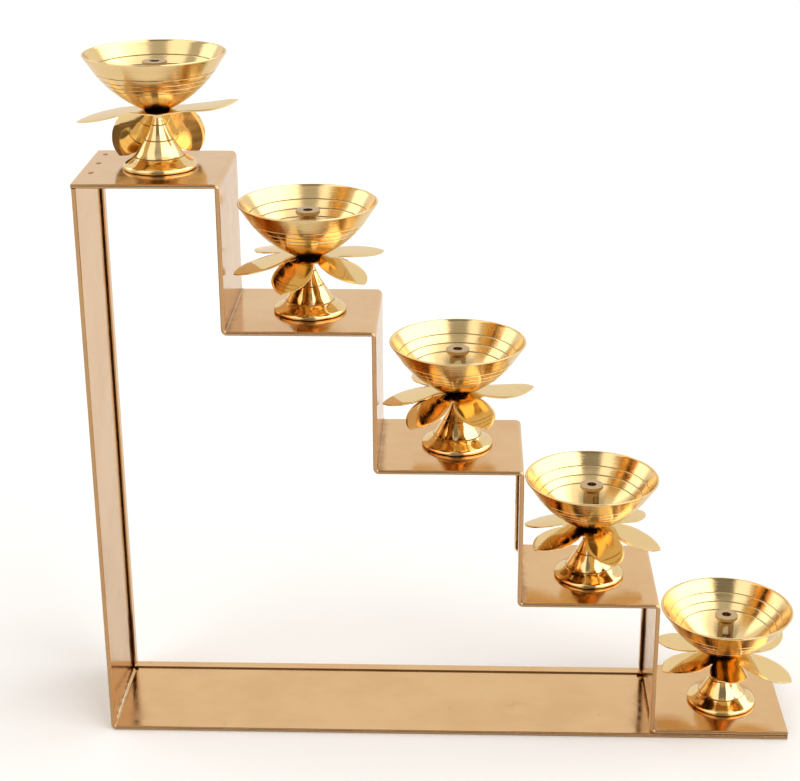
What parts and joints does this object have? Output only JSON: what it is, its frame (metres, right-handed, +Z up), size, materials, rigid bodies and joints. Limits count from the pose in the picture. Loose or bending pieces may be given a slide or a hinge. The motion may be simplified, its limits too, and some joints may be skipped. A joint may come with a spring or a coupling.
{
  "type": "stepped brass oil lamp stand",
  "caption": "Stepped brass stand of folded sheet, open front and back, with a lotus-petal oil lamp on each step: turned foot, petals, bowl and wick tube.",
  "frame": {"origin": "centre of the base's underside", "axes": "+Z up, +X along the steps from the tall wall down to the lowest step, +Y from the front to the back"},
  "size_m": [0.3864, 0.0849, 0.3775],
  "materials": {
    "stand_sheet": "polished sheet, softly brushed",
    "liner_sheet": "polished sheet, slightly stained",
    "rivet_brass": "hammered flat and polished over",
    "turned_brass": "lathe turned and polished",
    "petal_sheet": "polished thin sheet",
    "fastener_brass": "plain machined",
    "fastener_steel": "zinc plated"
  },
  "bodies": {
    "stand": {"stair_strip": "stand_sheet", "wall_base_strip": "stand_sheet", "base_liner": "liner_sheet", "seam_rivets": "rivet_brass"},
    "lamp_1": {"foot_1": "turned_brass", "stud_1": "fastener_brass", "rosette_1": "petal_sheet", "tread_screw_1": "fastener_steel", "tread_washer_1": "fastener_brass"},
    "oil_bowl_1": {"bowl_1": "turned_brass"},
    "wick_tube_1": {"wick_holder_1": "turned_brass"},
    "lamp_2": {"foot_2": "turned_brass", "stud_2": "fastener_brass", "rosette_2": "petal_sheet", "tread_screw_2": "fastener_steel", "tread_washer_2": "fastener_brass"},
    "oil_bowl_2": {"bowl_2": "turned_brass"},
    "wick_tube_2": {"wick_holder_2": "turned_brass"},
    "lamp_3": {"foot_3": "turned_brass", "stud_3": "fastener_brass", "rosette_3": "petal_sheet", "tread_screw_3": "fastener_steel", "tread_washer_3": "fastener_brass"},
    "oil_bowl_3": {"bowl_3": "turned_brass"},
    "wick_tube_3": {"wick_holder_3": "turned_brass"},
    "lamp_4": {"foot_4": "turned_brass", "stud_4": "fastener_brass", "rosette_4": "petal_sheet", "tread_screw_4": "fastener_steel", "tread_washer_4": "fastener_brass"},
    "oil_bowl_4": {"bowl_4": "turned_brass"},
    "wick_tube_4": {"wick_holder_4": "turned_brass"},
    "lamp_5": {"foot_5": "turned_brass", "stud_5": "fastener_brass", "rosette_5": "petal_sheet", "tread_screw_5": "fastener_steel", "tread_washer_5": "fastener_brass"},
    "oil_bowl_5": {"bowl_5": "turned_brass"},
    "wick_tube_5": {"wick_holder_5": "turned_brass"}
  },
  "joints": [
    {"name": "lamp_1_turn", "type": "hinge", "parent": "stand", "child": "lamp_1", "pos_m": [-0.1509, 0, 0.3178], "axis": [0, 0, 1], "continuous": true},
    {"name": "bowl_1_turn", "type": "hinge", "parent": "lamp_1", "child": "oil_bowl_1", "pos_m": [-0.1509, 0, 0.3484], "axis": [0, 0, 1], "continuous": true},
    {"name": "wick_holder_1_turn", "type": "hinge", "parent": "oil_bowl_1", "child": "wick_tube_1", "pos_m": [-0.1509, 0, 0.3494], "axis": [0, 0, 1], "continuous": true},
    {"name": "lamp_2_turn", "type": "hinge", "parent": "stand", "child": "lamp_2", "pos_m": [-0.0745, 0, 0.2398], "axis": [0, 0, 1], "range_deg": [-8, 28]},
    {"name": "bowl_2_turn", "type": "hinge", "parent": "lamp_2", "child": "oil_bowl_2", "pos_m": [-0.0745, 0, 0.2704], "axis": [0, 0, 1], "continuous": true},
    {"name": "wick_holder_2_turn", "type": "hinge", "parent": "oil_bowl_2", "child": "wick_tube_2", "pos_m": [-0.0745, 0, 0.2714], "axis": [0, 0, 1], "continuous": true},
    {"name": "lamp_3_turn", "type": "hinge", "parent": "stand", "child": "lamp_3", "pos_m": [0.0045, 0.002, 0.1623], "axis": [0, 0, 1], "range_deg": [-170, 45]},
    {"name": "bowl_3_turn", "type": "hinge", "parent": "lamp_3", "child": "oil_bowl_3", "pos_m": [0.0045, 0.002, 0.1929], "axis": [0, 0, 1], "continuous": true},
    {"name": "wick_holder_3_turn", "type": "hinge", "parent": "oil_bowl_3", "child": "wick_tube_3", "pos_m": [0.0045, 0.002, 0.1939], "axis": [0, 0, 1], "continuous": true},
    {"name": "lamp_4_turn", "type": "hinge", "parent": "stand", "child": "lamp_4", "pos_m": [0.07905, 0, 0.0838], "axis": [0, 0, 1], "range_deg": [-15, 7]},
    {"name": "bowl_4_turn", "type": "hinge", "parent": "lamp_4", "child": "oil_bowl_4", "pos_m": [0.07905, 0, 0.1144], "axis": [0, 0, 1], "continuous": true},
    {"name": "wick_holder_4_turn", "type": "hinge", "parent": "oil_bowl_4", "child": "wick_tube_4", "pos_m": [0.07905, 0, 0.1154], "axis": [0, 0, 1], "continuous": true},
    {"name": "lamp_5_turn", "type": "hinge", "parent": "stand", "child": "lamp_5", "pos_m": [0.15765, -0.002, 0.0048], "axis": [0, 0, 1], "range_deg": [-16, 18]},
    {"name": "bowl_5_turn", "type": "hinge", "parent": "lamp_5", "child": "oil_bowl_5", "pos_m": [0.15765, -0.002, 0.0354], "axis": [0, 0, 1], "continuous": true},
    {"name": "wick_holder_5_turn", "type": "hinge", "parent": "oil_bowl_5", "child": "wick_tube_5", "pos_m": [0.15765, -0.002, 0.0364], "axis": [0, 0, 1], "continuous": true}
  ]
}
